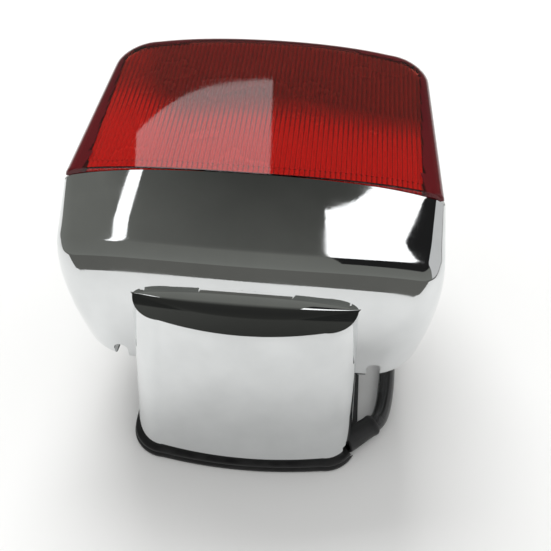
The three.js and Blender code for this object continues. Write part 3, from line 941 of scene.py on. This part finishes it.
bpy.context.scene.view_settings.view_transform = "Standard"
def glossy_only(piece):
    """Seen in reflections only, and otherwise out of the picture and of the light."""
    piece.visible_camera = False
    piece.visible_diffuse = False
    piece.visible_transmission = False
    piece.visible_shadow = False


def glow(name, colour, strength=1.0):
    made = bpy.data.materials.new(name)
    made.use_nodes = True
    tree = made.node_tree
    tree.nodes.clear()
    lamp = tree.nodes.new("ShaderNodeEmission")
    lamp.inputs["Color"].default_value = (*colour, 1)
    lamp.inputs["Strength"].default_value = strength
    out = tree.nodes.new("ShaderNodeOutputMaterial")
    tree.links.new(lamp.outputs[0], out.inputs["Surface"])
    return made, tree, lamp


def towards(azimuth, elevation, distance):
    """A point in mm seen from the lamp: azimuth 0 is the front and 90 the right."""
    a, e = math.radians(azimuth), math.radians(elevation)
    return Vector((
        math.sin(a) * math.cos(e), -math.cos(a) * math.cos(e), math.sin(e),
    )) * distance + Vector((0, -20, 100))


ROOM = 2500


def make_room():
    """A dim room round the table: darker overhead, paler low down."""
    work = bmesh.new()
    bmesh.ops.create_uvsphere(work, u_segments=48, v_segments=24, radius=ROOM * MM)
    mesh = bpy.data.meshes.new("room")
    work.to_mesh(mesh)
    work.free()
    made, tree, lamp = glow("room", (0.05, 0.05, 0.05))
    place = tree.nodes.new("ShaderNodeTexCoord")
    split = tree.nodes.new("ShaderNodeSeparateXYZ")
    rise = tree.nodes.new("ShaderNodeMapRange")
    rise.inputs["From Max"].default_value = ROOM * MM
    ramp = tree.nodes.new("ShaderNodeValToRGB")
    stops = ramp.color_ramp.elements
    stops[0].position, stops[0].color = 0.0, (0.2, 0.205, 0.19, 1)
    stops[1].position, stops[1].color = 1.0, (0.025, 0.0255, 0.024, 1)
    for at, level in ((0.75, 0.16), (0.9, 0.03)):
        stop = stops.new(at)
        stop.color = (level, level * 1.02, level * 0.94, 1)
    tree.links.new(place.outputs["Object"], split.inputs[0])
    tree.links.new(split.outputs["Z"], rise.inputs["Value"])
    tree.links.new(rise.outputs["Result"], ramp.inputs["Fac"])
    tree.links.new(ramp.outputs["Color"], lamp.inputs["Color"])
    room = bpy.data.objects.new("room", mesh)
    room.data.materials.append(made)
    bpy.context.scene.collection.objects.link(room)
    glossy_only(room)


def panel(name, azimuths, elevations, level, distance=2300):
    """A plain studio panel, a rectangle whose sides are given in degrees from the lamp."""
    work = bmesh.new()
    bmesh.ops.create_grid(work, x_segments=16, y_segments=8, size=0.5)
    for vert in work.verts:
        azimuth = lerp(*azimuths, vert.co.x + 0.5)
        elevation = lerp(*elevations, vert.co.y + 0.5)
        vert.co = towards(azimuth, elevation, distance) * MM
    mesh = bpy.data.meshes.new(name)
    work.to_mesh(mesh)
    work.free()
    mesh.materials.append(glow(name, (1, 1, 1), level)[0])
    piece = bpy.data.objects.new(name, mesh)
    bpy.context.scene.collection.objects.link(piece)
    glossy_only(piece)


TABLE_FRONT = -300
FAR = 2600


def dark_floor():
    """The darker floor past the table's straight front edge."""
    corners = [(-FAR, -FAR), (FAR, -FAR), (FAR, TABLE_FRONT), (-FAR, TABLE_FRONT)]
    mesh = to_mesh("past_table", [(x, y, 1) for x, y in corners], [(0, 1, 2, 3)])
    mesh.materials.append(glow("past_table", (0.13, 0.13, 0.12))[0])
    piece = bpy.data.objects.new("past_table", mesh)
    bpy.context.scene.collection.objects.link(piece)
    glossy_only(piece)


make_stage()
make_world((0.78, 0.78, 0.78))
make_room()
dark_floor()
panel("softbox_right", (10, 50), (50, 58), 1.6)
panel("softbox_behind", (-175, -155), (35, 45), 3)
panel("strip_light", (-45, -40), (45, 55), 1.6)
panel("flag", (10, 60), (35, 50), 0.016)
panel("pale_wall", (60, 130), (0, 50), 0.64)
area_light("key", (-0.3, 1.25, 1.45), (0, 0, 0), (1.1, 1.1), 30, False)
